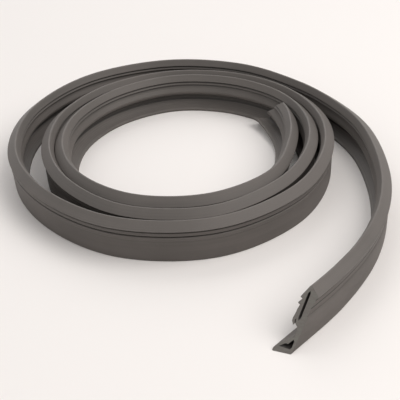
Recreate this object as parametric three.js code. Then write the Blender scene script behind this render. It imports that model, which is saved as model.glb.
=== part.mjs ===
// Dishwasher door seal: one extruded rubber strip wound into a loose coil, standing on its foot.
// Millimetres, +Z up. The origin is on the floor, under the middle of the coil's bounding box.
import * as THREE from 'three';

// The section is drawn looking along the strip. Its zero is the outer bottom corner, out is away
// from the middle of the coil and up is +Z.
const sealHeight = 23;
const webThickness = 1.6;

// Foot, the flat lip that the strip stands on
const footLength = 8.8;
const footThickness = 1.6;
const footTipRound = 0.6;
const heelRound = 0.5;
const channelFillet = 0.9;

// Outer side: the sloped top band, then two grooves that leave two ridges
const apexIn = 3.6;
const apexRound = 0.5;
const bandOut = 2;
const bandDrop = 3.6;
const bandEdge = 0.5;
const ridgeOut = 0.9;
const ridgeHeight = 2.2;
const grooveHeight = 0.9;
const grooveDepth = 1;
const ridgeStep = 0.4;

// Inner side: two barbs below the apex, the head's wall and the hook that ends it
const barbIn = 6.2;
const barbDrop = 4.4;
const barbSpacing = 2;
const barbTip = 0.4;
const barbDepth = 0.9;
const wallIn = 6.5;
const hookIn = 7.4;
const hookBottom = 10;
const hookTip = 0.7;
const pocketDepth = 1.3;
const pocketRoot = 3.6;
const waistHeight = 8.4;

// Flat hollow that runs through the head from end to end
const hollowWidth = 0.6;
const hollowTop = 20.9;
const hollowTopIn = 2.9;
const hollowBottom = 11;
const hollowBottomIn = 2.5;

// Coil. The radius of the innermost turn, out to the strip's outer bottom corner, at bearings that
// go clockwise from the strip's inner end. The middle of the coil is the pole.
const innerEndBearing = 37;
const innerTurn = [62.5, 60.5, 64, 73, 79, 80, 78, 76, 76, 77, 78, 75.5];

// Each later turn lies one strip width further out. Its slack is how much looser it runs there.
const turnClearance = 0.5;
const slackOfTurn = [
  [1.5, 3.5, 2.5, 0.5, 4, 3.5, 0.5, 0.5, 2, 2.5, 0.5, 0],
  [0, 0, 1, 3, 2, 3, 6, 10, 12, 11.5, 8.5, 4.5],
];

// Free tail: bearings it passes, and how far it is then clear of the outermost turn
const tailBearings = [37, 17, -1, -19, -36, -51, -65, -77];
const tailGaps = [4, 7, 11, 17.5, 28, 41, 57, 74];

// Lean of the strip: the free inner end tips outward, the first turn a little
const endLean = 17;
const endLeanLength = 80;
const firstTurnLean = 5;
const firstTurnLength = 450;
const relaxLength = 130;

// Both ends are cut at a slant, so that the foot reaches further than the apex does
const startCut = 14;
const endCut = 21;
const endSkew = 1.5;
const cutBlend = 50;

// Stations along the strip
const stationCount = 135;
const arcSamples = 4000;

const turnDegrees = 360;
const headReach = Math.max(ridgeOut + hookIn, bandOut + barbIn);
const turnPitch = Math.max(footLength, headReach) + turnClearance;
const bearingStep = turnDegrees / innerTurn.length;

const point = (out, up) => new THREE.Vector2(out, up);

// A quarter round between two points, bulging past the corner that they share
function roundCorner(from, corner, to, pieces) {
  const curve = new THREE.QuadraticBezierCurve(from, corner, to);
  return curve.getPoints(pieces);
}

// Foot: the tip is rounded, the underside is flat at height 0 and the heel is eased
function footOutline() {
  const tipTop = roundCorner(
    point(-footLength + footTipRound, footThickness),
    point(-footLength, footThickness),
    point(-footLength, footThickness - footTipRound),
    2,
  );
  const tipBottom = roundCorner(
    point(-footLength, footTipRound),
    point(-footLength, 0),
    point(-footLength + footTipRound, 0),
    1,
  );
  const heel = roundCorner(point(-heelRound, 0), point(0, 0), point(0, heelRound), 2);
  return [...tipTop, ...tipBottom, ...heel];
}

// Outer side, from the plain lower face up past two ridges to the edge of the sloped top band
function outerOutline() {
  const bandBottom = sealHeight - bandDrop - bandEdge;
  const upperRidgeTop = bandBottom - grooveHeight;
  const upperRidgeBottom = upperRidgeTop - ridgeHeight;
  const lowerRidgeTop = upperRidgeBottom - grooveHeight;
  const lowerRidgeBottom = lowerRidgeTop - ridgeHeight;
  const grooveFloor = ridgeOut - grooveDepth;
  return [
    point(ridgeOut - ridgeStep, lowerRidgeBottom - ridgeStep),
    point(ridgeOut, lowerRidgeBottom),
    point(ridgeOut, lowerRidgeTop),
    point(grooveFloor, lowerRidgeTop + grooveHeight / 2),
    point(ridgeOut, upperRidgeBottom),
    point(ridgeOut, upperRidgeTop),
    point(grooveFloor, upperRidgeTop + grooveHeight / 2),
    point(bandOut, bandBottom),
    point(bandOut, bandBottom + bandEdge),
  ];
}

// Apex, the two barbs under it, the head's inner wall and the hook with its pocket
function innerOutline() {
  const apex = roundCorner(
    point(apexRound - apexIn, sealHeight - apexRound / 2),
    point(-apexIn, sealHeight + apexRound / 2),
    point(-apexIn - apexRound, sealHeight - apexRound),
    2,
  );
  const upperBarb = sealHeight - barbDrop;
  const lowerBarb = upperBarb - barbSpacing;
  const barbRoot = barbDepth - barbIn;
  const pocketTop = hookBottom + pocketDepth;
  return [
    ...apex,
    point(-barbIn, upperBarb + barbTip),
    point(-barbIn, upperBarb),
    point(barbRoot, upperBarb - barbTip),
    point(-barbIn, lowerBarb + barbTip),
    point(-barbIn, lowerBarb),
    point(barbRoot, lowerBarb - barbTip),
    point(-wallIn, (lowerBarb + pocketTop) / 2),
    point(-hookIn, hookBottom + hookTip),
    point(hookTip / 2 - hookIn, hookBottom),
    point(hookTip - hookIn, hookBottom + hookTip),
    point(-(hookIn + pocketRoot) / 2, pocketTop),
    point(-pocketRoot, pocketTop),
    point(-webThickness, waistHeight),
    ...channelOutline(),
  ];
}

// Channel between the web and the foot
function channelOutline() {
  return roundCorner(
    point(-webThickness, footThickness + channelFillet),
    point(-webThickness, footThickness),
    point(-webThickness - channelFillet, footThickness),
    2,
  );
}

function hollowOutline() {
  const half = hollowWidth / 2;
  const taper = hollowWidth;
  return [
    point(-hollowTopIn, hollowTop),
    point(-hollowTopIn + half, hollowTop - taper),
    point(-hollowBottomIn + half, hollowBottom + taper),
    point(-hollowBottomIn, hollowBottom),
    point(-hollowBottomIn - half, hollowBottom + taper),
    point(-hollowTopIn - half, hollowTop - taper),
  ];
}

// Radius of a turn at one of the bearings where it is given
function turnRadius(turn, index) {
  const slack = slackOfTurn.slice(0, turn).reduce((sum, row) => sum + row[index], 0);
  return innerTurn[index] + turn * turnPitch + slack;
}

// Radius of the outermost turn at any bearing
function outerTurnRadius(bearing) {
  const position = THREE.MathUtils.euclideanModulo(innerEndBearing - bearing, turnDegrees) / bearingStep;
  const index = Math.floor(position);
  const next = (index + 1) % innerTurn.length;
  const outermost = slackOfTurn.length;
  return THREE.MathUtils.lerp(turnRadius(outermost, index), turnRadius(outermost, next), position - index);
}

function polarPoint(radius, bearing) {
  const angle = THREE.MathUtils.degToRad(bearing);
  return new THREE.Vector3(radius * Math.cos(angle), radius * Math.sin(angle), 0);
}

// Route of the strip's outer bottom corner: the turns from the inside out, then the free tail
function stripRoute() {
  const waypoints = [];
  for (let turn = 0; turn <= slackOfTurn.length; turn += 1) {
    innerTurn.forEach((_, index) => {
      const bearing = innerEndBearing - index * bearingStep;
      waypoints.push(polarPoint(turnRadius(turn, index), bearing));
    });
  }
  tailBearings.forEach((bearing, index) => {
    const radius = outerTurnRadius(bearing) + turnPitch + tailGaps[index];
    waypoints.push(polarPoint(radius, bearing));
  });
  const route = new THREE.CatmullRomCurve3(waypoints);
  route.arcLengthDivisions = arcSamples;
  return route;
}

const route = stripRoute();
const stripLength = route.getLength();

// Lean some way along the strip, in radians
function leanAt(distance) {
  const settle = 1 - THREE.MathUtils.smoothstep(distance, 0, endLeanLength);
  const relax = 1 - THREE.MathUtils.smoothstep(distance, firstTurnLength, firstTurnLength + relaxLength);
  return THREE.MathUtils.degToRad(firstTurnLean * relax + (endLean - firstTurnLean) * settle);
}

// A section point placed some way along the strip, moved on or back by the slanted end cuts
function placePoint(sectionPoint, distance) {
  const nearStart = Math.max(0, 1 - distance / cutBlend);
  const nearEnd = Math.max(0, 1 - (stripLength - distance) / cutBlend);
  const height = sectionPoint.y / sealHeight;
  const behindFootTip = 1 + sectionPoint.x / footLength;
  const shift = nearStart * startCut * height - nearEnd * (endCut * height + endSkew * behindFootTip);
  const share = (distance + shift) / stripLength;

  const origin = route.getPointAt(share);
  const tangent = route.getTangentAt(share);
  const outward = new THREE.Vector3(-tangent.y, tangent.x, 0);
  const lean = leanAt(distance);
  const out = sectionPoint.x * Math.cos(lean) + sectionPoint.y * Math.sin(lean);
  const up = sectionPoint.y * Math.cos(lean) - sectionPoint.x * Math.sin(lean);
  return origin.addScaledVector(outward, out).setZ(up);
}

// Walls of one loop of the section along the coil, as a grid of stations by section points
function sweepLoop(loop, firstVertex, faces) {
  for (let station = 0; station < stationCount; station += 1) {
    for (let i = 0; i < loop.length; i += 1) {
      const next = (i + 1) % loop.length;
      const here = firstVertex + station * loop.length;
      const ahead = here + loop.length;
      faces.push(here + i, here + next, ahead + next);
      faces.push(here + i, ahead + next, ahead + i);
    }
  }
}

function sealGeometry() {
  const outer = [...footOutline(), ...outerOutline(), ...innerOutline()];
  const hollow = hollowOutline();
  const loops = [outer, hollow];
  const vertices = [];
  const faces = [];
  const firstVertices = [];
  for (const loop of loops) {
    firstVertices.push(vertices.length);
    for (let station = 0; station <= stationCount; station += 1) {
      const distance = (stripLength * station) / stationCount;
      loop.forEach((sectionPoint) => vertices.push(placePoint(sectionPoint, distance)));
    }
    sweepLoop(loop, firstVertices.at(-1), faces);
  }

  // Cut faces at the two ends, with the hollow left open
  const capFaces = THREE.ShapeUtils.triangulateShape(outer, [hollow]);
  const capVertex = (index, station) => {
    const loop = index < outer.length ? 0 : 1;
    const offset = loop === 0 ? index : index - outer.length;
    return firstVertices[loop] + station * loops[loop].length + offset;
  };
  for (const [a, b, c] of capFaces) {
    faces.push(capVertex(a, 0), capVertex(c, 0), capVertex(b, 0));
    faces.push(capVertex(a, stationCount), capVertex(b, stationCount), capVertex(c, stationCount));
  }
  const geometry = new THREE.BufferGeometry().setFromPoints(vertices);
  geometry.setIndex(faces);
  geometry.computeBoundingBox();
  const centre = geometry.boundingBox.getCenter(new THREE.Vector3());
  geometry.translate(-centre.x, -centre.y, -geometry.boundingBox.min.z);
  geometry.computeVertexNormals();
  return geometry;
}

const rubber = new THREE.MeshStandardMaterial({ color: 0x6f6864, roughness: 0.62, metalness: 0 });
const doorSeal = new THREE.Mesh(sealGeometry(), rubber);
doorSeal.name = 'door_seal';

const group = new THREE.Group();
group.add(doorSeal);

export default group;
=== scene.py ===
import math

import bmesh
import bpy
from mathutils import Euler, Matrix, Vector


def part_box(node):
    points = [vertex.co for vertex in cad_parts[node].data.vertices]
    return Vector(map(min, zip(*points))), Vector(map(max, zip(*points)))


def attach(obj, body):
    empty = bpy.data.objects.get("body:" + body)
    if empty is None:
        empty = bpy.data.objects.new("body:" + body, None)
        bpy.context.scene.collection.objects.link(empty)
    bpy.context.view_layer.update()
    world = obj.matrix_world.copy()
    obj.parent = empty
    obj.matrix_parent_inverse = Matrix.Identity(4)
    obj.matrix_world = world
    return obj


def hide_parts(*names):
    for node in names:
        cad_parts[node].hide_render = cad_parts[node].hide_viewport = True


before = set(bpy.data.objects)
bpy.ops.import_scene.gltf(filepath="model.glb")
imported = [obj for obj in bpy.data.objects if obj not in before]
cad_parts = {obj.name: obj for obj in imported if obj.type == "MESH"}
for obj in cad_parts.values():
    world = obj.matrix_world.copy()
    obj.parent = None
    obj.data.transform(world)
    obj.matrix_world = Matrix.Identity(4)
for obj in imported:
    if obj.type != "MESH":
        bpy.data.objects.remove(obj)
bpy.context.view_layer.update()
mm = 0.001

# The section in millimetres. Its zero is the heel, out is away from the coil's middle, up is +Z.
section = {
    "height": 23.0,
    "webThickness": 1.6,
    "footLength": 8.7,
    "footPlate": 1.5,
    "footTipHeight": 1.5,
    "footRound": 0.6,
    "roofRise": 5.8,
    "roofSagIn": 4.5,
    "roofSagHeight": 2.4,
    "roofThickness": 0.9,
    "roofSteps": 7,
    "footHollowIn": 6.9,
    "footWall": 1.0,
    "apexIn": 3.6,
    "bandOut": 1.6,
    "bandDrop": 3.8,
    "bandEdge": 0.4,
    "ridgeOut": 0.9,
    "ridgeHeight": 1.7,
    "grooveHeight": 1.15,
    "grooveDepth": 1.1,
    "ridgeStep": 0.4,
    "flatWallOut": 1.2,
    "barbIn": 6.0,
    "barbDrop": 4.1,
    "barbSpacing": 2.0,
    "barbTip": 0.4,
    "barbDepth": 1.1,
    "wallIn": 5.5,
    "hookIn": 6.7,
    "hookShoulder": 12.2,
    "hookSideIn": 6.5,
    "hookSideHeight": 11.0,
    "hookBottom": 9.6,
    "hookTipIn": 5.1,
    "hookLip": 0.4,
    "pocketIn": 5.5,
    "pocketWidth": 0.5,
    "pocketTop": 11.8,
    "neckIn": 3.4,
    "waistIn": 1.9,
    "waistHeight": 8.8,
    "hollowWidth": 1.15,
    "hollowDrop": 1.8,
    "hollowTopIn": 2.95,
    "hollowBottom": 11.1,
    "hollowBottomIn": 2.75,
    "hollowTaper": 0.8,
    "apexOver": 0.25,
    "undersideShare": 0.7,
    "softEdge": 0.16,
    "arcSteps": 3,
    "edgeShare": 0.45,
    "straightAngle": 172,
    "supportGap": 0.22,
    "supportNeed": 4,
    "cavityShadeFade": 0.7,
    "wearAndHighlightFade": 0.35,
}

# Millimetres and degrees. The strip runs clockwise, seen from above, from its inner end to its tail.
coil = {
    "innerEndBearing": 43.5,
    "innerEndRadius": 66.0,
    "innerEndRise": 3.0,
    "innerRiseLength": 60,
    "innerTurnBearing": 37,
    "innerTurn": [65, 60.6, 61, 70.8, 78.2, 80, 78, 76, 76, 77, 78, 75.5],
    "turnClearance": 0.6,
    "slackOfTurn": [
        [-0.5, 3.4, 6, 3.7, 4.8, 3.5, 0.5, 0.5, 2, 2.5, 0.5, 0],
        [0, 0.6, 1, 2, 2, 3, 6, 10, 12, 12.5, 9.6, 5.7],
    ],
    "tailBearings": [37, 17, -1, -19, -36, -51, -65, -78],
    "tailGaps": [2.5, 5.2, 11.3, 18.9, 29.9, 42.9, 57.6, 76.4],
    "bendHeight": 6.0,
    "innerEndLean": 16,
    "innerEndLeanLength": 40,
    "innerLean": 11,
    "innerLeanHeld": 75,
    "innerLeanLength": 160,
    "firstTurnLean": 5,
    "firstTurnLength": 460,
    "relaxLength": 130,
    "tailLean": -5.5,
    "tailLeanLength": 120,
    "startCut": 22,
    "startSkew": 0.8,
    "endCut": 24,
    "endSkew": 3,
    "cutBlend": 60,
    "spanSteps": 40,
    "stations": 520,
    "leanWobble": 0.6,
    "wobbleWave": 47,
    "wobbleDrift": 131,
    "foldStart": 1085,
    "foldEnd": 1370,
    "foldFade": 90,
    "foldElsewhere": 0.08,
    "foldOnTail": 0.18,
    "foldBelow": 0.3,
    "foldAbove": 0.02,
    "foldIn": 1,
    "foldCurve": 1.5,
    "footSwingHeights": (3.5, 6),
    "tailFootLift": 1.0,
    "tailLiftFrom": (0.3, 2.6),
    "tailLiftTo": (4.2, 6.2),
    "tailLiftFromIn": (1.2, 3.0),
    "tailLiftToIn": (7.4, 8.7),
    "tailRoofFold": 1.2,
    "tailRoofFoldIn": 3.0,
    "tailRoofFoldAbove": 0.2,
    "tailHookPress": 1.1,
    "tailPressFromIn": (3.4, 5.4),
    "tailPressFrom": (8.8, 10.2),
    "tailPressTo": (12.5, 15.5),
}


def bezierPoints(start, control, end, steps):
    points = []
    for i in range(steps + 1):
        t = i / steps
        points.append(start.lerp(control, t).lerp(control.lerp(end, t), t))
    return points


def filletCorner(before, corner, after, radius):
    # Rounds one corner with a curve that stays inside both its edges.
    toBefore = before - corner
    toAfter = after - corner
    angle = toBefore.angle(toAfter)
    if angle > math.radians(section["straightAngle"]):
        return [corner]
    longest = section["edgeShare"] * min(toBefore.length, toAfter.length)
    reach = min(radius / math.tan(angle / 2), longest)
    start = corner + toBefore.normalized() * reach
    end = corner + toAfter.normalized() * reach
    return bezierPoints(start, corner, end, section["arcSteps"])


def roundedLoop(corners):
    # Corners are (out, up, radius, cavity shade, wear and highlight). The cavity shade is painted shade
    # that darkens recesses, grooves and hollows. The last value is real wear together with a painted
    # highlight on the apex, the edges and the roof. A long straight stretch gets a support point near
    # each end, so that the painted shade and the wear and highlight fade out close to the corner.
    loop = []
    count = len(corners)
    for i, (out, up, radius, cavityShade, wearAndHighlight) in enumerate(corners):
        arc = [Vector((out, up))]
        if radius > 0:
            before = Vector(corners[i - 1][:2])
            after = Vector(corners[(i + 1) % count][:2])
            arc = filletCorner(before, arc[0], after, radius)
        loop += [(p, cavityShade, wearAndHighlight) for p in arc]
    supported = []
    gap = section["supportGap"]
    for i, (p, cavityShade, wearAndHighlight) in enumerate(loop):
        q, nextCavityShade, nextWearAndHighlight = loop[(i + 1) % len(loop)]
        supported.append((p, cavityShade, wearAndHighlight))
        length = (q - p).length
        if length > section["supportNeed"] * gap:
            t = gap / length
            for share, shadeShare, wornAndLit in ((t, cavityShade, wearAndHighlight), (1 - t, nextCavityShade, nextWearAndHighlight)):
                fades = (shadeShare * section["cavityShadeFade"], wornAndLit * section["wearAndHighlightFade"])
                supported.append((p.lerp(q, share), *fades))
    return supported


def sealSection():
    s = section
    soft = s["softEdge"]
    bandBottom = s["height"] - s["bandDrop"] - s["bandEdge"]
    upperTop = bandBottom - s["grooveHeight"]
    upperBottom = upperTop - s["ridgeHeight"]
    lowerTop = upperBottom - s["grooveHeight"]
    lowerBottom = lowerTop - s["ridgeHeight"]
    grooveFloor = s["ridgeOut"] - s["grooveDepth"]
    upperBarb = s["height"] - s["barbDrop"]
    lowerBarb = upperBarb - s["barbSpacing"]
    barbRoot = s["barbDepth"] - s["barbIn"]
    web = -s["webThickness"]
    roofTop = Vector((web, s["roofRise"]))
    roofSag = Vector((-s["roofSagIn"], s["roofSagHeight"]))
    footTip = Vector((-s["footLength"], s["footTipHeight"]))
    roof = bezierPoints(roofTop, roofSag, footTip, s["roofSteps"])
    # The fourth number of each corner is painted shade, darkest in the grooves, under the barbs and
    # under the hook. The fifth is wear with a painted highlight, strongest on the apex, the band edges
    # and the roof.
    outer = [
        (-s["footLength"], s["footTipHeight"], 0.5, 0, 0.5),
        (-s["footLength"], 0, s["footRound"], 0, 0.3),
        (0, 0, s["footRound"], 0, 0.3),
        (s["ridgeOut"] - s["ridgeStep"], lowerBottom - s["ridgeStep"], 0.3, 0.35, 0),
        (s["ridgeOut"], lowerBottom, soft, 0.1, 0.5),
        (s["ridgeOut"], lowerTop, soft, 0.2, 0.5),
        (grooveFloor, lowerTop + s["grooveHeight"] / 2, 0.12, 1, 0),
        (s["ridgeOut"], upperBottom, soft, 0.2, 0.5),
        (s["ridgeOut"], upperTop, soft, 0.2, 0.4),
        (grooveFloor, upperTop + s["grooveHeight"] / 2, 0.12, 1, 0),
        (s["bandOut"], bandBottom, soft, 0.1, 0.6),
        (s["bandOut"], bandBottom + s["bandEdge"], 0.3, 0, 0.6),
        (-s["apexIn"], s["height"] + s["apexOver"], 0.7, 0, 0.55),
        (-s["barbIn"], upperBarb + s["barbTip"], 0.2, 0, 0.5),
        (-s["barbIn"], upperBarb, 0.15, 0, 0.5),
        (barbRoot, upperBarb - s["barbTip"], 0.15, 1, 0),
        (-s["barbIn"], lowerBarb + s["barbTip"], 0.2, 0.1, 0.4),
        (-s["barbIn"], lowerBarb, 0.15, 0, 0.4),
        (barbRoot, lowerBarb - s["barbTip"], 0.15, 1, 0),
        (-s["wallIn"], (lowerBarb + s["hookShoulder"]) / 2, 1.5, 0, 0.1),
        (-s["hookIn"], s["hookShoulder"], 0.6, 0, 0.4),
        (-s["hookSideIn"], s["hookSideHeight"], 0.5, 0, 0.4),
        (-s["hookTipIn"], s["hookBottom"], 0.2, 0.1, 0.3),
        (s["hookLip"] - s["hookTipIn"], s["hookBottom"] + s["hookLip"], 0.2, 0.8, 0),
        (-s["pocketIn"], s["pocketTop"] - s["hookLip"], 0.2, 1, 0),
        (s["pocketWidth"] - s["pocketIn"], s["pocketTop"], 0.2, 1, 0),
        (-s["neckIn"], s["hookBottom"] + s["hookLip"], 0.5, 1, 0),
        (-s["waistIn"], s["waistHeight"], 0.9, 1, 0),
        (web, s["roofRise"], 0.8, 0.9, 0),
        *((p.x, p.y, 0, 0, 0.65) for p in roof[1:-1]),
    ]
    half = s["hollowWidth"] / 2
    taper = s["hollowWidth"] * s["hollowTaper"]
    hollowTop = s["height"] - s["hollowDrop"]
    headHollow = [
        (-s["hollowTopIn"], hollowTop),
        (half - s["hollowTopIn"], hollowTop - taper),
        (half - s["hollowBottomIn"], s["hollowBottom"] + taper),
        (-s["hollowBottomIn"], s["hollowBottom"]),
        (-half - s["hollowBottomIn"], s["hollowBottom"] + taper),
        (-half - s["hollowTopIn"], hollowTop - taper),
    ]
    inside = s["roofRise"] - s["roofThickness"]
    sag = Vector((-s["roofSagIn"], s["roofSagHeight"] - s["undersideShare"] * s["roofThickness"]))
    hollowTip = Vector((-s["footHollowIn"], s["footPlate"]))
    underside = bezierPoints(hollowTip, sag, Vector((web, inside)), s["roofSteps"])
    wall = -s["footWall"]
    corner = s["footRound"]
    footHollow = [
        *((p.x, p.y) for p in underside),
        (wall, inside - corner),
        (wall, s["footPlate"] + corner),
        (wall - corner, s["footPlate"]),
    ]
    # The hollows get full painted shade: their inner walls are coloured near-black for the shade inside
    # them.
    hollows = [[(Vector(p), 1, 0) for p in hollow] for hollow in (headHollow, footHollow)]
    return [roundedLoop(outer), *hollows]


def edgeLoopsObject(name, loops, attributes):
    # Loops are (points, closed), and attributes maps a name to one value per point.
    mesh = bpy.data.meshes.new(name)
    verts, edges = [], []
    for points, closed in loops:
        first = len(verts)
        verts += [tuple(p) for p in points]
        edges += [(first + i, first + i + 1) for i in range(len(points) - 1)]
        if closed:
            edges.append((len(verts) - 1, first))
    mesh.from_pydata(verts, edges, [])
    for key, values in attributes.items():
        layer = mesh.attributes.new(key, "FLOAT", "POINT")
        layer.data.foreach_set("value", values)
    obj = bpy.data.objects.new(name, mesh)
    bpy.context.scene.collection.objects.link(obj)
    return obj


def turnPitch():
    head = max(section["ridgeOut"] + section["hookIn"], section["bandOut"] + section["barbIn"])
    return max(section["footLength"], head) + coil["turnClearance"]


def turnRadius(turn, index):
    slack = sum(row[index] for row in coil["slackOfTurn"][:turn])
    return coil["innerTurn"][index] + turn * turnPitch() + slack


def polarPoint(radius, bearing):
    angle = math.radians(bearing)
    return Vector((radius * math.cos(angle), radius * math.sin(angle)))


def routeWaypoints():
    count = len(coil["innerTurn"])
    step = 360 / count
    outermost = len(coil["slackOfTurn"])
    points = [polarPoint(coil["innerEndRadius"], coil["innerEndBearing"])]
    for turn in range(outermost + 1):
        for index in range(count):
            points.append(polarPoint(turnRadius(turn, index), coil["innerTurnBearing"] - index * step))
    for bearing, gap in zip(coil["tailBearings"], coil["tailGaps"]):
        position = (coil["innerTurnBearing"] - bearing) % 360 / step
        index = int(position)
        t = position - index
        radius = turnRadius(outermost, index) * (1 - t) + turnRadius(outermost, (index + 1) % count) * t
        points.append(polarPoint(radius + turnPitch() + gap, bearing))
    return points


def sampleRoute(points):
    # A centripetal Catmull-Rom curve through the waypoints, finely sampled.
    perSpan = coil["spanSteps"]
    padded = [2 * points[0] - points[1], *points, 2 * points[-1] - points[-2]]
    samples = []
    for i in range(len(points) - 1):
        p0, p1, p2, p3 = padded[i:i + 4]
        d0, d1, d2 = ((b - a).length ** 0.5 for a, b in ((p0, p1), (p1, p2), (p2, p3)))
        m1 = ((p1 - p0) / d0 - (p2 - p0) / (d0 + d1) + (p2 - p1) / d1) * d1
        m2 = ((p2 - p1) / d1 - (p3 - p1) / (d1 + d2) + (p3 - p2) / d2) * d1
        last = i == len(points) - 2
        for k in range(perSpan + last):
            t = k / perSpan
            samples.append(p1 + m1 * t + (3 * (p2 - p1) - 2 * m1 - m2) * t ** 2
                           + (2 * (p1 - p2) + m1 + m2) * t ** 3)
    return samples


def evenStations(samples, count):
    lengths = [0.0]
    for a, b in zip(samples, samples[1:]):
        lengths.append(lengths[-1] + (b - a).length)
    stations, k = [], 0
    for i in range(count + 1):
        target = lengths[-1] * i / count
        while k < len(samples) - 2 and lengths[k + 1] < target:
            k += 1
        t = (target - lengths[k]) / (lengths[k + 1] - lengths[k])
        stations.append((samples[k].lerp(samples[k + 1], t), target))
    return stations, lengths[-1]


def smoothstep(x, low, high):
    t = min(max((x - low) / (high - low), 0), 1)
    return t * t * (3 - 2 * t)


def footFlatness(along):
    # The inner end leans as a whole, with its foot. Further on the foot lies flat.
    return smoothstep(along, coil["innerLeanHeld"] / 2, coil["innerLeanLength"])


def riseAt(along):
    # The foot of the inner end is lifted where it rests on the foot of the next turn.
    return coil["innerEndRise"] * (1 - smoothstep(along, 0, coil["innerRiseLength"]))


def leanAt(along, length):
    inner = 1 - smoothstep(along, coil["innerLeanHeld"], coil["innerLeanLength"])
    endMost = 1 - smoothstep(along, 0, coil["innerEndLeanLength"])
    start = coil["firstTurnLength"]
    relax = 1 - smoothstep(along, start, start + coil["relaxLength"])
    tail = smoothstep(along, length - coil["tailLeanLength"], length)
    wobble = math.sin(along / coil["wobbleWave"]) * math.sin(along / coil["wobbleDrift"] + 1)
    lean = coil["firstTurnLean"] * relax + (coil["innerLean"] - coil["firstTurnLean"]) * inner
    lean += (coil["innerEndLean"] - coil["innerLean"]) * endMost
    lean += coil["tailLean"] * tail + coil["leanWobble"] * wobble
    return math.radians(lean)


def grooveOpening(along):
    # The outer wall folds into two open grooves round the front of the outermost turn, and less
    # on the tail.
    half = coil["foldFade"] / 2
    begun = smoothstep(along, coil["foldStart"] - half, coil["foldStart"] + half)
    ended = smoothstep(along, coil["foldEnd"] - half, coil["foldEnd"] + half)
    before = coil["foldElsewhere"] + (1 - coil["foldElsewhere"]) * begun
    return before + (coil["foldOnTail"] - before) * ended


def grooveClosing(p):
    # How far a point of the outer wall moves out or in when the folds lie flat.
    s = section
    top = s["height"] - s["bandDrop"] - s["bandEdge"]
    bottom = top - 2 * (s["grooveHeight"] + s["ridgeHeight"]) - s["ridgeStep"]
    if not bottom - coil["foldBelow"] <= p.y < top + coil["foldAbove"] or p.x < -coil["foldIn"]:
        return 0.0
    share = max((p.y - bottom) / (top - bottom), 0)
    return s["flatWallOut"] * share ** coil["foldCurve"] - p.x


def footSwing(p):
    # How far a point of the section follows the lifted foot of the inner end, 1 at the foot's tip.
    above = smoothstep(p.y, *coil["footSwingHeights"])
    return max(0, -p.x / section["footLength"]) * (1 - above)


def tailOffset(p, cavityShade):
    # At the tail's cut the foot has opened and the hook lies closer, as (out, up).
    lift = smoothstep(p.y, *coil["tailLiftFrom"]) * (1 - smoothstep(p.y, *coil["tailLiftTo"]))
    lift *= smoothstep(-p.x, *coil["tailLiftFromIn"]) * (1 - smoothstep(-p.x, *coil["tailLiftToIn"]))
    lift *= coil["tailFootLift"]
    floorTop = section["footPlate"] + coil["tailRoofFoldAbove"]
    if cavityShade == 1 and floorTop < p.y < section["roofRise"]:
        lift -= coil["tailRoofFold"] * math.exp(-(p.x + coil["tailRoofFoldIn"]) ** 2)
    press = smoothstep(p.y, *coil["tailPressFrom"]) * (1 - smoothstep(p.y, *coil["tailPressTo"]))
    press *= coil["tailHookPress"] * smoothstep(-p.x, *coil["tailPressFromIn"])
    return press, lift


def newNode(tree, kind, **settings):
    node = tree.nodes.new(kind)
    for key, value in settings.items():
        setattr(node, key, value)
    return node


def mathNode(tree, operation, *inputs):
    node = newNode(tree, "ShaderNodeMath", operation=operation)
    for socket, value in zip(node.inputs, inputs):
        if isinstance(value, (int, float)):
            socket.default_value = value
        else:
            tree.links.new(value, socket)
    return node.outputs[0]


def vectorNode(tree, operation, *inputs):
    node = newNode(tree, "ShaderNodeVectorMath", operation=operation)
    for socket, value in zip(node.inputs, inputs):
        if isinstance(value, (tuple, list)):
            socket.default_value = value
        else:
            tree.links.new(value, socket)
    return node


def scaled(tree, vector, factor):
    node = newNode(tree, "ShaderNodeVectorMath", operation="SCALE")
    tree.links.new(vector, node.inputs[0])
    tree.links.new(factor, node.inputs["Scale"])
    return node.outputs[0]


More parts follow.
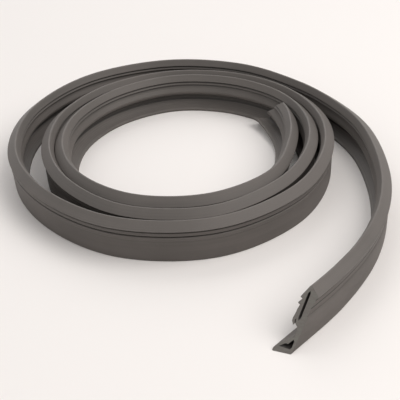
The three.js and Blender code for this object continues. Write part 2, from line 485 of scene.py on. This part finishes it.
def sweepTree():
    tree = bpy.data.node_groups.new("sealSweep", "GeometryNodeTree")
    tree.is_modifier = True
    face = tree.interface
    face.new_socket("Geometry", in_out="INPUT", socket_type="NodeSocketGeometry")
    face.new_socket("Section", in_out="INPUT", socket_type="NodeSocketObject")
    sizes = ("Strip Length", "Height", "Foot Length", "Bend Height", "Start Cut", "Start Skew",
             "End Cut", "End Skew", "Cut Blend")
    for name in sizes:
        face.new_socket(name, in_out="INPUT", socket_type="NodeSocketFloat")
    face.new_socket("Rubber", in_out="INPUT", socket_type="NodeSocketMaterial")
    face.new_socket("Geometry", in_out="OUTPUT", socket_type="NodeSocketGeometry")
    link = tree.links.new
    given = newNode(tree, "NodeGroupInput")
    rail = newNode(tree, "GeometryNodeMeshToCurve")
    link(given.outputs["Geometry"], rail.inputs[0])
    sectionObject = newNode(tree, "GeometryNodeObjectInfo")
    link(given.outputs["Section"], sectionObject.inputs["Object"])
    profile = newNode(tree, "GeometryNodeMeshToCurve")
    link(sectionObject.outputs["Geometry"], profile.inputs[0])
    sweep = newNode(tree, "GeometryNodeCurveToMesh")
    link(rail.outputs[0], sweep.inputs["Curve"])
    link(profile.outputs[0], sweep.inputs["Profile Curve"])

    def attribute(name):
        node = newNode(tree, "GeometryNodeInputNamedAttribute", data_type="FLOAT")
        node.inputs["Name"].default_value = name
        return node.outputs["Attribute"]

    def calc(operation, *inputs):
        return mathNode(tree, operation, *inputs)

    along, out, up = (attribute(name) for name in ("along", "out", "up"))
    size = {name: given.outputs[name] for name in sizes}
    height = calc("DIVIDE", up, size["Height"])
    behind = calc("ADD", calc("DIVIDE", out, size["Foot Length"]), 1.0)

    def nearness(distance):
        return calc("MAXIMUM", calc("SUBTRACT", 1.0, calc("DIVIDE", distance, size["Cut Blend"])), 0.0)

    def cutReach(end, near):
        slant = calc("MULTIPLY", height, size[end + " Cut"])
        skew = calc("MULTIPLY", behind, size[end + " Skew"])
        return calc("MULTIPLY", near, calc("ADD", slant, skew))

    nearEnd = nearness(calc("SUBTRACT", size["Strip Length"], along))
    shift = calc("SUBTRACT", cutReach("Start", nearness(along)), cutReach("End", nearEnd))
    sample = newNode(tree, "GeometryNodeSampleCurve", mode="LENGTH", use_all_curves=True)
    link(rail.outputs[0], sample.inputs["Curves"])
    link(calc("ADD", along, shift), sample.inputs["Length"])
    across = vectorNode(tree, "CROSS_PRODUCT", (0, 0, 1), sample.outputs["Tangent"])
    outward = vectorNode(tree, "NORMALIZE", across.outputs[0]).outputs[0]

    folded = calc("SUBTRACT", 1.0, attribute("grooveOpen"))
    shut = calc("MULTIPLY", attribute("grooveClose"), folded)
    atTail = calc("MULTIPLY", nearEnd, nearEnd)
    pressed = calc("MULTIPLY", attribute("tailPress"), atTail)
    outNow = calc("ADD", calc("ADD", out, shut), pressed)
    upNow = calc("ADD", up, calc("MULTIPLY", attribute("tailLift"), atTail))
    risen = calc("MINIMUM", calc("DIVIDE", up, size["Bend Height"]), 1.0)
    held = calc("MULTIPLY", attribute("footFlat"), calc("SUBTRACT", 1.0, risen))
    bend = calc("MULTIPLY", attribute("lean"), calc("SUBTRACT", 1.0, held))
    cosine, sine = calc("COSINE", bend), calc("SINE", bend)
    leanOut = calc("ADD", calc("MULTIPLY", outNow, cosine), calc("MULTIPLY", upNow, sine))
    leanUp = calc("SUBTRACT", calc("MULTIPLY", upNow, cosine), calc("MULTIPLY", outNow, sine))
    footLift = calc("MULTIPLY", attribute("rise"), attribute("footSwing"))
    rise = newNode(tree, "ShaderNodeCombineXYZ")
    link(calc("ADD", leanUp, footLift), rise.inputs["Z"])
    moved = vectorNode(tree, "ADD", sample.outputs["Position"], scaled(tree, outward, leanOut))
    place = vectorNode(tree, "ADD", moved.outputs[0], rise.outputs[0]).outputs[0]
    setPlace = newNode(tree, "GeometryNodeSetPosition")
    link(sweep.outputs[0], setPlace.inputs["Geometry"])
    link(place, setPlace.inputs["Position"])

    spot = newNode(tree, "ShaderNodeCombineXYZ")
    for socket, value in zip(spot.inputs, (along, out, up)):
        link(value, socket)
    store = newNode(tree, "GeometryNodeStoreNamedAttribute", data_type="FLOAT_VECTOR", domain="POINT")
    store.inputs["Name"].default_value = "stripSpace"
    link(setPlace.outputs[0], store.inputs["Geometry"])
    link(spot.outputs[0], store.inputs["Value"])
    realize = newNode(tree, "GeometryNodeRealizeInstances")
    link(store.outputs[0], realize.inputs[0])
    paint = newNode(tree, "GeometryNodeSetMaterial")
    link(realize.outputs[0], paint.inputs["Geometry"])
    link(given.outputs["Rubber"], paint.inputs["Material"])
    result = newNode(tree, "NodeGroupOutput")
    link(paint.outputs[0], result.inputs[0])
    return tree


def setInput(modifier, tree, name, value):
    for item in tree.interface.items_tree:
        if item.item_type == "SOCKET" and item.in_out == "INPUT" and item.name == name:
            modifier[item.identifier] = value


def flattenEnd(verts, direction, out, up):
    # Slides the rim along the strip onto the plane through the foot's tip, the heel and the apex.
    floorVerts = [v for v in verts if v[up] < section["footTipHeight"] * mm]
    tip = min(floorVerts, key=lambda v: v[out]).co
    heel = max(floorVerts, key=lambda v: v[out]).co
    apex = max(verts, key=lambda v: v[up]).co
    normal = (heel - tip).cross(apex - tip)
    for v in verts:
        v.co += direction * ((tip - v.co).dot(normal) / direction.dot(normal))


def closeEnds(mesh, directions):
    # Each cut end is one flat face round the two hollows. All its corners have one place along.
    bm = bmesh.new()
    bm.from_mesh(mesh)
    bmesh.ops.remove_doubles(bm, verts=bm.verts, dist=1e-7)
    along, out, up = (bm.verts.layers.float[name] for name in ("along", "out", "up"))
    middle = max(v[along] for v in bm.verts) / 2
    rims = [e for e in bm.edges if e.is_boundary]
    for atStart, direction in zip((True, False), directions):
        rim = [e for e in rims if (e.verts[0][along] < middle) == atStart]
        flattenEnd({v for e in rim for v in e.verts}, direction, out, up)
        bmesh.ops.triangle_fill(bm, edges=rim, use_beauty=True)
    bmesh.ops.recalc_face_normals(bm, faces=bm.faces)
    ends = {f for f in bm.faces if len({v[along] for v in f.verts}) == 1}
    for f in bm.faces:
        f.smooth = f not in ends
        f.material_index = 1 if f in ends else 0
    for e in rims:
        e.smooth = False
    bm.to_mesh(mesh)
    bm.free()


def fitToFrame(mesh):
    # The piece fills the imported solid's box and stands on the floor.
    low, high = (Vector(corner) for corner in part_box("door_seal"))
    least, most = (Vector(pick(v.co[axis] for v in mesh.vertices) for axis in range(3))
                   for pick in (min, max))
    share = min(room / length for room, length in zip(high - low, most - least))
    shift = (low + high) / 2 - (least + most) / 2 * share
    shift.z = low.z - least.z * share
    mesh.transform(Matrix.Translation(shift) @ Matrix.Scale(share, 4))
    print("fit to the frame:", round(share, 4), [round(x / mm, 2) for x in most - least])
    return share, shift


def buildSeal(material):
    # Sweeps the section along the route, cuts and closes the ends, and fits it to the frame.
    samples = sampleRoute([p * mm for p in routeWaypoints()])
    stations, length = evenStations(samples, coil["stations"])
    alongs = [s / mm for _, s in stations]
    rail = edgeLoopsObject("railLine", [([(p.x, p.y, 0) for p, _ in stations], False)], {
        "rise": [riseAt(a) * mm for a in alongs],
        "along": [s for _, s in stations],
        "lean": [leanAt(a, length / mm) for a in alongs],
        "grooveOpen": [grooveOpening(a) for a in alongs],
        "footFlat": [footFlatness(a) for a in alongs],
    })
    loops = sealSection()
    flat = [entry for loop in loops for entry in loop]
    outlines = [([(p.x * mm, p.y * mm, 0) for p, _, _ in loop], True) for loop in loops]
    sectionLines = edgeLoopsObject("sectionLine", outlines, {
        "out": [p.x * mm for p, _, _ in flat],
        "up": [p.y * mm for p, _, _ in flat],
        # The painted shade and the wear with painted highlight go with the section as point attributes.
        "cavityShade": [cavityShade for _, cavityShade, _ in flat],
        "wearAndHighlight": [wearAndHighlight for _, _, wearAndHighlight in flat],
        "grooveClose": [grooveClosing(p) * mm for p, _, _ in flat],
        "tailPress": [tailOffset(p, cavityShade)[0] * mm for p, cavityShade, _ in flat],
        "tailLift": [tailOffset(p, cavityShade)[1] * mm for p, cavityShade, _ in flat],
        "footSwing": [footSwing(p) for p, _, _ in flat],
    })
    tree = sweepTree()
    modifier = rail.modifiers.new("sweep", "NODES")
    modifier.node_group = tree
    for name, value in {
        "Section": sectionLines,
        "Strip Length": length,
        "Height": section["height"] * mm,
        "Foot Length": section["footLength"] * mm,
        "Bend Height": coil["bendHeight"] * mm,
        "Start Cut": coil["startCut"] * mm,
        "Start Skew": coil["startSkew"] * mm,
        "End Cut": coil["endCut"] * mm,
        "End Skew": coil["endSkew"] * mm,
        "Cut Blend": coil["cutBlend"] * mm,
        "Rubber": material,
    }.items():
        setInput(modifier, tree, name, value)
    bpy.context.view_layer.update()
    graph = bpy.context.evaluated_depsgraph_get()
    mesh = bpy.data.meshes.new_from_object(rail.evaluated_get(graph), preserve_all_data_layers=True,
                                           depsgraph=graph)
    mesh.name = "doorSeal"
    for helper in (rail, sectionLines):
        bpy.data.objects.remove(helper)
    directions = [(b - a).to_3d().normalized() for a, b in (samples[:2], samples[-2:])]
    closeEnds(mesh, directions)
    share, shift = fitToFrame(mesh)
    seal = bpy.data.objects.new("doorSeal", mesh)
    bpy.context.scene.collection.objects.link(seal)
    return seal, share, shift


finish = {
    "skin": (0.125, 0.110, 0.101),
    "skinDark": (0.082, 0.073, 0.066),
    # A lighter colour for rubbed wear, together with a painted highlight.
    "rubbedAndLit": (0.235, 0.215, 0.200),
    # Near-black painted shade for the hollows, the grooves and the hook's underside.
    "paintedShadeColour": (0.012, 0.010, 0.009),
    "cutFace": (0.152, 0.147, 0.130),
    "roughness": (0.49, 0.65),
    "rubRoughness": 0.1,
    "cutRoughness": (0.6, 0.75),
    "specular": 0.35,
    # The greatest shares of painted shade and of wear with painted highlight.
    "creviceShade": 0.93,
    "rubAndHighlightMost": 0.8,
    "dieLines": (9.0, 1100.0, 1100.0),
    "dieBands": (5.0, 260.0, 260.0),
    "grain": 2600.0,
    "cloud": 22.0,
    "scuff": 160.0,
    "bladeMarks": (300.0, 300.0, 2200.0),
    "skinBump": (0.35, 0.00012),
    "cutBump": (0.4, 0.00015),
}


def linkInto(tree, socket, value):
    if isinstance(value, (int, float)):
        socket.default_value = value
    elif isinstance(value, tuple):
        socket.default_value = (*value, 1.0) if len(value) == 3 and socket.type == "RGBA" else value
    else:
        tree.links.new(value, socket)


def noiseNode(tree, vector, scale, detail, roughness):
    node = newNode(tree, "ShaderNodeTexNoise", noise_dimensions="3D")
    linkInto(tree, node.inputs["Vector"], vector)
    node.inputs["Scale"].default_value = scale
    node.inputs["Detail"].default_value = detail
    node.inputs["Roughness"].default_value = roughness
    return node.outputs["Fac"]


def rangeNode(tree, value, low, high, toLow, toHigh, smooth=False):
    node = newNode(tree, "ShaderNodeMapRange", interpolation_type="SMOOTHSTEP" if smooth else "LINEAR")
    linkInto(tree, node.inputs["Value"], value)
    for key, number in (("From Min", low), ("From Max", high), ("To Min", toLow), ("To Max", toHigh)):
        node.inputs[key].default_value = number
    return node.outputs[0]


def mixColour(tree, share, first, second):
    node = newNode(tree, "ShaderNodeMix", data_type="RGBA")
    linkInto(tree, node.inputs[0], share)
    linkInto(tree, node.inputs[6], first)
    linkInto(tree, node.inputs[7], second)
    return node.outputs[2]


def grainGroup():
    # Fine rubber grain and the long lines that the die leaves, for the skin and the cut faces.
    tree = bpy.data.node_groups.new("rubberGrain", "ShaderNodeTree")
    face = tree.interface
    face.new_socket("Strip Place", in_out="INPUT", socket_type="NodeSocketVector")
    face.new_socket("Line Strength", in_out="INPUT", socket_type="NodeSocketFloat")
    face.new_socket("Grain Strength", in_out="INPUT", socket_type="NodeSocketFloat")
    face.new_socket("Tone", in_out="OUTPUT", socket_type="NodeSocketFloat")
    face.new_socket("Height", in_out="OUTPUT", socket_type="NodeSocketFloat")
    given = newNode(tree, "NodeGroupInput")
    place = given.outputs["Strip Place"]
    stretch = vectorNode(tree, "MULTIPLY", place, finish["dieLines"]).outputs[0]
    lines = noiseNode(tree, stretch, 1.0, 2.0, 0.6)
    broad = vectorNode(tree, "MULTIPLY", place, finish["dieBands"]).outputs[0]
    bands = noiseNode(tree, broad, 1.0, 2.0, 0.5)
    coordinates = newNode(tree, "ShaderNodeTexCoord")
    fine = noiseNode(tree, coordinates.outputs["Object"], finish["grain"], 4.0, 0.6)
    lineHeight = mathNode(tree, "MULTIPLY", lines, given.outputs["Line Strength"])
    fineHeight = mathNode(tree, "MULTIPLY", fine, given.outputs["Grain Strength"])
    result = newNode(tree, "NodeGroupOutput")
    tree.links.new(mathNode(tree, "ADD", lineHeight, fineHeight), result.inputs["Height"])
    tone = mathNode(tree, "ADD", mathNode(tree, "MULTIPLY", bands, 0.6),
                    mathNode(tree, "MULTIPLY", lines, 0.4))
    tree.links.new(tone, result.inputs["Tone"])
    return tree


def startMaterial(name):
    material = bpy.data.materials.new(name)
    material.use_nodes = True
    tree = material.node_tree
    shader = tree.nodes["Principled BSDF"]
    shader.inputs["Specular IOR Level"].default_value = finish["specular"]
    return material, tree, shader


def attributeNode(tree, name):
    return newNode(tree, "ShaderNodeAttribute", attribute_type="GEOMETRY", attribute_name=name)


def addBump(tree, shader, height, strength, distance):
    bump = newNode(tree, "ShaderNodeBump")
    bump.inputs["Strength"].default_value = strength
    bump.inputs["Distance"].default_value = distance
    tree.links.new(height, bump.inputs["Height"])
    tree.links.new(bump.outputs[0], shader.inputs["Normal"])


def placeGrain(tree, grain, lineStrength, grainStrength):
    node = newNode(tree, "ShaderNodeGroup", node_tree=grain)
    tree.links.new(attributeNode(tree, "stripSpace").outputs["Vector"], node.inputs["Strip Place"])
    node.inputs["Line Strength"].default_value = lineStrength
    node.inputs["Grain Strength"].default_value = grainStrength
    return node


def skinMaterial(grain):
    material, tree, shader = startMaterial("sealSkin")
    lines = placeGrain(tree, grain, 0.7, 0.35)
    coordinates = newNode(tree, "ShaderNodeTexCoord").outputs["Object"]
    cloud = noiseNode(tree, coordinates, finish["cloud"], 4.0, 0.55)
    scuff = noiseNode(tree, coordinates, finish["scuff"], 5.0, 0.65)
    tone = mathNode(tree, "ADD", mathNode(tree, "MULTIPLY", cloud, 0.6),
                    mathNode(tree, "MULTIPLY", lines.outputs["Tone"], 0.4))
    body = mixColour(tree, rangeNode(tree, tone, 0.32, 0.68, 0.0, 1.0),
                     finish["skinDark"], finish["skin"])
    # Wear with a painted highlight: the surface is lighter on the rubbed edges, the apex and the roof.
    wearAndHighlight = attributeNode(tree, "wearAndHighlight").outputs["Fac"]
    rubAndHighlight = mathNode(tree, "MULTIPLY", rangeNode(tree, wearAndHighlight, 0.3, 1.0, 0.0, finish["rubAndHighlightMost"], True),
                   rangeNode(tree, scuff, 0.35, 0.7, 0.25, 1.0))
    wornAndLit = mixColour(tree, rubAndHighlight, body, finish["rubbedAndLit"])
    # Painted shade: the recesses, grooves, hollows and the hook's underside are darkened towards
    # near-black.
    cavityShade = attributeNode(tree, "cavityShade").outputs["Fac"]
    shadeShare = rangeNode(tree, cavityShade, 0.2, 1.0, 0.0, finish["creviceShade"])
    colour = mixColour(tree, shadeShare, wornAndLit, finish["paintedShadeColour"])
    tree.links.new(colour, shader.inputs["Base Color"])
    rough = mathNode(tree, "ADD", rangeNode(tree, tone, 0.3, 0.7, *finish["roughness"]),
                     mathNode(tree, "MULTIPLY", rubAndHighlight, finish["rubRoughness"]))
    tree.links.new(rough, shader.inputs["Roughness"])
    addBump(tree, shader, lines.outputs["Height"], *finish["skinBump"])
    return material


def cutMaterial(grain):
    material, tree, shader = startMaterial("sealCutFace")
    lines = placeGrain(tree, grain, 0.2, 1.0)
    coordinates = newNode(tree, "ShaderNodeTexCoord").outputs["Object"]
    blade = vectorNode(tree, "MULTIPLY", coordinates, finish["bladeMarks"]).outputs[0]
    marks = noiseNode(tree, blade, 1.0, 2.0, 0.5)
    colour = mixColour(tree, rangeNode(tree, marks, 0.3, 0.7, 0.0, 1.0),
                       finish["skin"], finish["cutFace"])
    tree.links.new(colour, shader.inputs["Base Color"])
    rough = rangeNode(tree, marks, 0.3, 0.7, *finish["cutRoughness"])
    tree.links.new(rough, shader.inputs["Roughness"])
    height = mathNode(tree, "ADD", lines.outputs["Height"], mathNode(tree, "MULTIPLY", marks, 0.6))
    addBump(tree, shader, height, *finish["cutBump"])
    return material


view = {
    "imageSize": 400,
    "focalPixels": 975.0,
    "pitch": 31.63,
    "roll": 3.56,
    "fromPole": (4.6, -515.5, 289.7),
    "sensor": 36.0,
}

light = {
    "key": ((0.75, -0.25, 0.95), 1.1, 11.0, (1.0, 0.975, 0.95)),
    "fill": ((-0.9, -0.9, 0.9), 1.4, 4.0, (1.0, 0.99, 0.98)),
    "back": ((-0.1, 1.2, 1.0), 1.2, 8.0, (1.0, 0.99, 0.98)),
    "world": 0.42,
    "floor": (0.86, 0.825, 0.805),
    "floorHalf": 4.0,
    "floorRoughness": 0.9,
    "floorSpecular": 0.1,
    "aim": (0, 0, 0.01),
}


def addCamera(share, pole):
    camera = bpy.data.cameras.new("photoCamera")
    camera.sensor_fit = "HORIZONTAL"
    camera.sensor_width = view["sensor"]
    camera.lens = view["focalPixels"] / view["imageSize"] * view["sensor"]
    camera.clip_start = 0.01
    obj = bpy.data.objects.new("photoCamera", camera)
    down = Euler((math.radians(90 - view["pitch"]), 0, 0)).to_matrix()
    roll = Matrix.Rotation(math.radians(-view["roll"]), 3, "Z")
    obj.rotation_euler = (down @ roll).to_euler()
    obj.location = pole + Vector(view["fromPole"]) * mm * share
    bpy.context.scene.collection.objects.link(obj)
    bpy.context.scene.camera = obj


def addLamp(name, place, size, power, colour, target):
    lamp = bpy.data.lights.new(name, "AREA")
    lamp.size = size
    lamp.energy = power
    lamp.color = colour
    obj = bpy.data.objects.new(name, lamp)
    obj.location = place
    obj.rotation_euler = (target - obj.location).to_track_quat("-Z", "Y").to_euler()
    bpy.context.scene.collection.objects.link(obj)


def addStudio():
    scene = bpy.context.scene
    scene.view_settings.view_transform = "Standard"
    world = bpy.data.worlds.new("studio")
    scene.world = world
    world.use_nodes = True
    tree = world.node_tree
    sky = tree.nodes["Background"]
    path = newNode(tree, "ShaderNodeLightPath")
    seen = mathNode(tree, "MAXIMUM", path.outputs["Is Camera Ray"], path.outputs["Is Glossy Ray"])
    seen = mathNode(tree, "MAXIMUM", seen, path.outputs["Is Transmission Ray"])
    strength = rangeNode(tree, seen, 0.0, 1.0, light["world"], 1.0)
    tree.links.new(strength, sky.inputs["Strength"])
    sky.inputs["Color"].default_value = (1, 1, 1, 1)
    for name in ("key", "fill", "back"):
        addLamp(name + "Light", *light[name], Vector(light["aim"]))
    mesh = bpy.data.meshes.new("floor")
    half = light["floorHalf"]
    corners = [(-half, -half, 0), (half, -half, 0), (half, half, 0), (-half, half, 0)]
    mesh.from_pydata(corners, [], [(0, 1, 2, 3)])
    floor = bpy.data.objects.new("floor", mesh)
    material, tree, shader = startMaterial("paleFloor")
    shader.inputs["Base Color"].default_value = (*light["floor"], 1)
    shader.inputs["Roughness"].default_value = light["floorRoughness"]
    shader.inputs["Specular IOR Level"].default_value = light["floorSpecular"]
    mesh.materials.append(material)
    scene.collection.objects.link(floor)


print("scene: materials")
grain = grainGroup()
skin = skinMaterial(grain)
cutFace = cutMaterial(grain)

print("scene: door seal")
seal, share, poleShift = buildSeal(skin)
seal.data.materials.append(cutFace)
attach(seal, "root")
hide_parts("door_seal")

print("scene: studio")
addCamera(share, poleShift)
addStudio()
